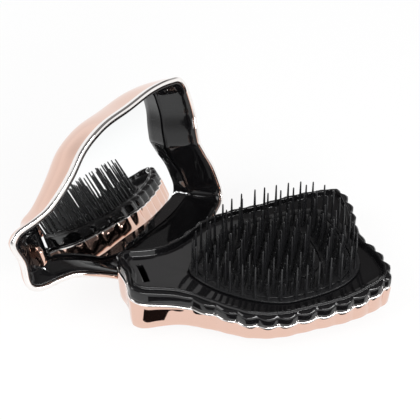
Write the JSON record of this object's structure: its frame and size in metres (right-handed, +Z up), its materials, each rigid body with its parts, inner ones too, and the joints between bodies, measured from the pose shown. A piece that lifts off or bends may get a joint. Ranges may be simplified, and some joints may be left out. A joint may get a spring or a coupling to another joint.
{
  "type": "hairbrush with mirror cover",
  "caption": "Compact wing-outlined detangling hairbrush lying on its back, with a separate deep clip-on cover standing behind it that holds a mirror.",
  "frame": {"origin": "middle of the flat patch under the brush's domed back, on the surface it stands on", "axes": "+Z up; +X along the brush from its narrow end to its wing tips; -Y is the side the brush is seen from, and the cover stands on the +Y side"},
  "size_m": [0.1338, 0.1055, 0.0642],
  "materials": {
    "rose_plating": "bright rose-gold plating over moulded plastic",
    "black_plastic": "polished black moulding",
    "bristle_plastic": "semi-gloss, flexible",
    "foam": "adhesive foam sheet",
    "mirror": "back-silvered glass"
  },
  "bodies": {
    "brush": {"back_shell": "rose_plating", "bristle_plate": "black_plastic", "outer_bristles": "bristle_plastic", "mid_bristles": "bristle_plastic", "centre_bristles": "bristle_plastic"},
    "cover": {"cover_shell": "rose_plating", "cover_liner": "black_plastic", "mirror_foam": "foam", "mirror_glass": "mirror", "catch_tongue": "rose_plating"}
  },
  "joints": [
    {"name": "cover_lift", "type": "slide", "parent": "brush", "child": "cover", "axis": [0, 0, 1], "range_m": [0, 0.1]}
  ]
}
